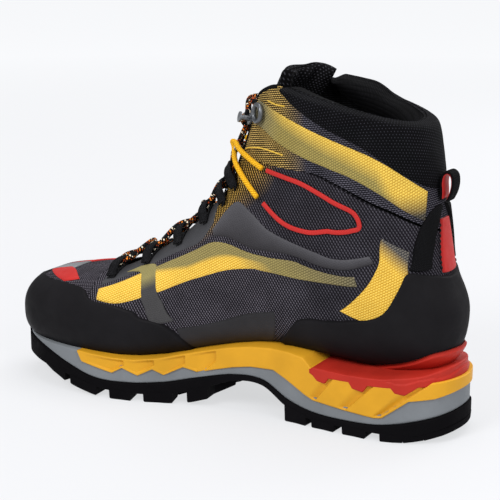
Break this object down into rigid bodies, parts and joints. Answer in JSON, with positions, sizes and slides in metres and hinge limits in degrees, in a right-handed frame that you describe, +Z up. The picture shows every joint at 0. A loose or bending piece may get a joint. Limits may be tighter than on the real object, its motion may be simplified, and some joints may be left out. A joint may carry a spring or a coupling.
{
  "type": "mountaineering boot",
  "caption": "Mid-height technical mountaineering boot for the right foot, laced at the front, with a lugged rubber sole, toe rand, padded collar and heel pull loop.",
  "frame": {"origin": "on the ground, under the middle of the boot's length and width", "axes": "-X towards the toe, -Y towards the medial side, +Z up"},
  "size_m": [0.304, 0.1069, 0.2098],
  "materials": {
    "tread_rubber": "matt black moulded rubber",
    "grey_foam": "moulded grey foam",
    "yellow_frame": "satin golden-yellow moulded plastic",
    "red_insert": "satin red moulded plastic",
    "nylon_plate": "fibre-filled nylon",
    "board": "pressed fibre board",
    "footbed_foam": "knitted cloth over foam",
    "stiffener": "thermoformed sheet",
    "lining_knit": "brushed knit lining",
    "upper_weave": "dark woven upper with light flecks",
    "cuff_weave": "gold and brown stretch weave",
    "collar_knit": "black knobbly padded mesh",
    "rand_rubber": "smooth matt black rubber",
    "grey_film": "fused grey film",
    "pale_film": "fused pale grey film",
    "yellow_film": "fused film over yellow mesh",
    "red_tape": "welded red tape",
    "webbing": "narrow woven webbing",
    "lace_braid": "round braid with orange and white flecks",
    "yellow_cord": "round braided cord",
    "metal": "satin grey metal"
  },
  "bodies": {
    "boot": {"outsole": "tread_rubber", "midsole": "grey_foam", "midsole_frame": "yellow_frame", "heel_insert": "red_insert", "shank": "nylon_plate", "lasting_board": "board", "footbed": "footbed_foam", "toe_puff": "stiffener", "heel_stiffener": "stiffener", "foot_lining": "lining_knit", "ankle_lining": "lining_knit", "vamp": "upper_weave", "quarter_medial": "upper_weave", "quarter_lateral": "upper_weave", "cuff_medial": "cuff_weave", "cuff_lateral": "cuff_weave", "collar": "collar_knit", "tongue_lower": "collar_knit", "toe_rand": "rand_rubber", "toe_patch": "pale_film", "toe_stripe": "red_tape", "heel_counter": "rand_rubber", "skirt_medial": "grey_film", "skirt_lateral": "grey_film", "lower_band_medial": "yellow_film", "lower_band_lateral": "yellow_film", "upper_band_medial": "yellow_film", "upper_band_lateral": "yellow_film", "ankle_panel_medial": "grey_film", "ankle_panel_lateral": "grey_film", "rear_stripe_medial": "yellow_film", "rear_stripe_lateral": "yellow_film", "eyestay_medial": "pale_film", "eyestay_lateral": "pale_film", "lace_loops_medial": "webbing", "lace_loops_lateral": "webbing", "cord_tape_medial": "red_tape", "cord_tape_lateral": "red_tape", "ankle_cord_medial": "yellow_cord", "ankle_cord_lateral": "yellow_cord", "eyelet_rings": "metal", "lace_hooks": "metal", "lace": "lace_braid", "aglets": "nylon_plate", "heel_strap": "webbing", "spine_strip": "red_tape"},
    "tongue": {"tongue_flap": "collar_knit"},
    "loop": {"pull_loop": "webbing", "pull_loop_lining": "red_tape"}
  },
  "joints": [
    {"name": "tongue_flex", "type": "hinge", "parent": "boot", "child": "tongue", "pos_m": [0.015, 0.001, 0.1515], "axis": [0, 1, 0], "range_deg": [0, 12], "stiffness_Nm_per_rad": 0.08, "springref_deg": -3.44},
    {"name": "loop_flop", "type": "hinge", "parent": "boot", "child": "loop", "pos_m": [0.133, 0.001, 0.1366], "axis": [0, 1, 0], "range_deg": [0, 55]}
  ]
}
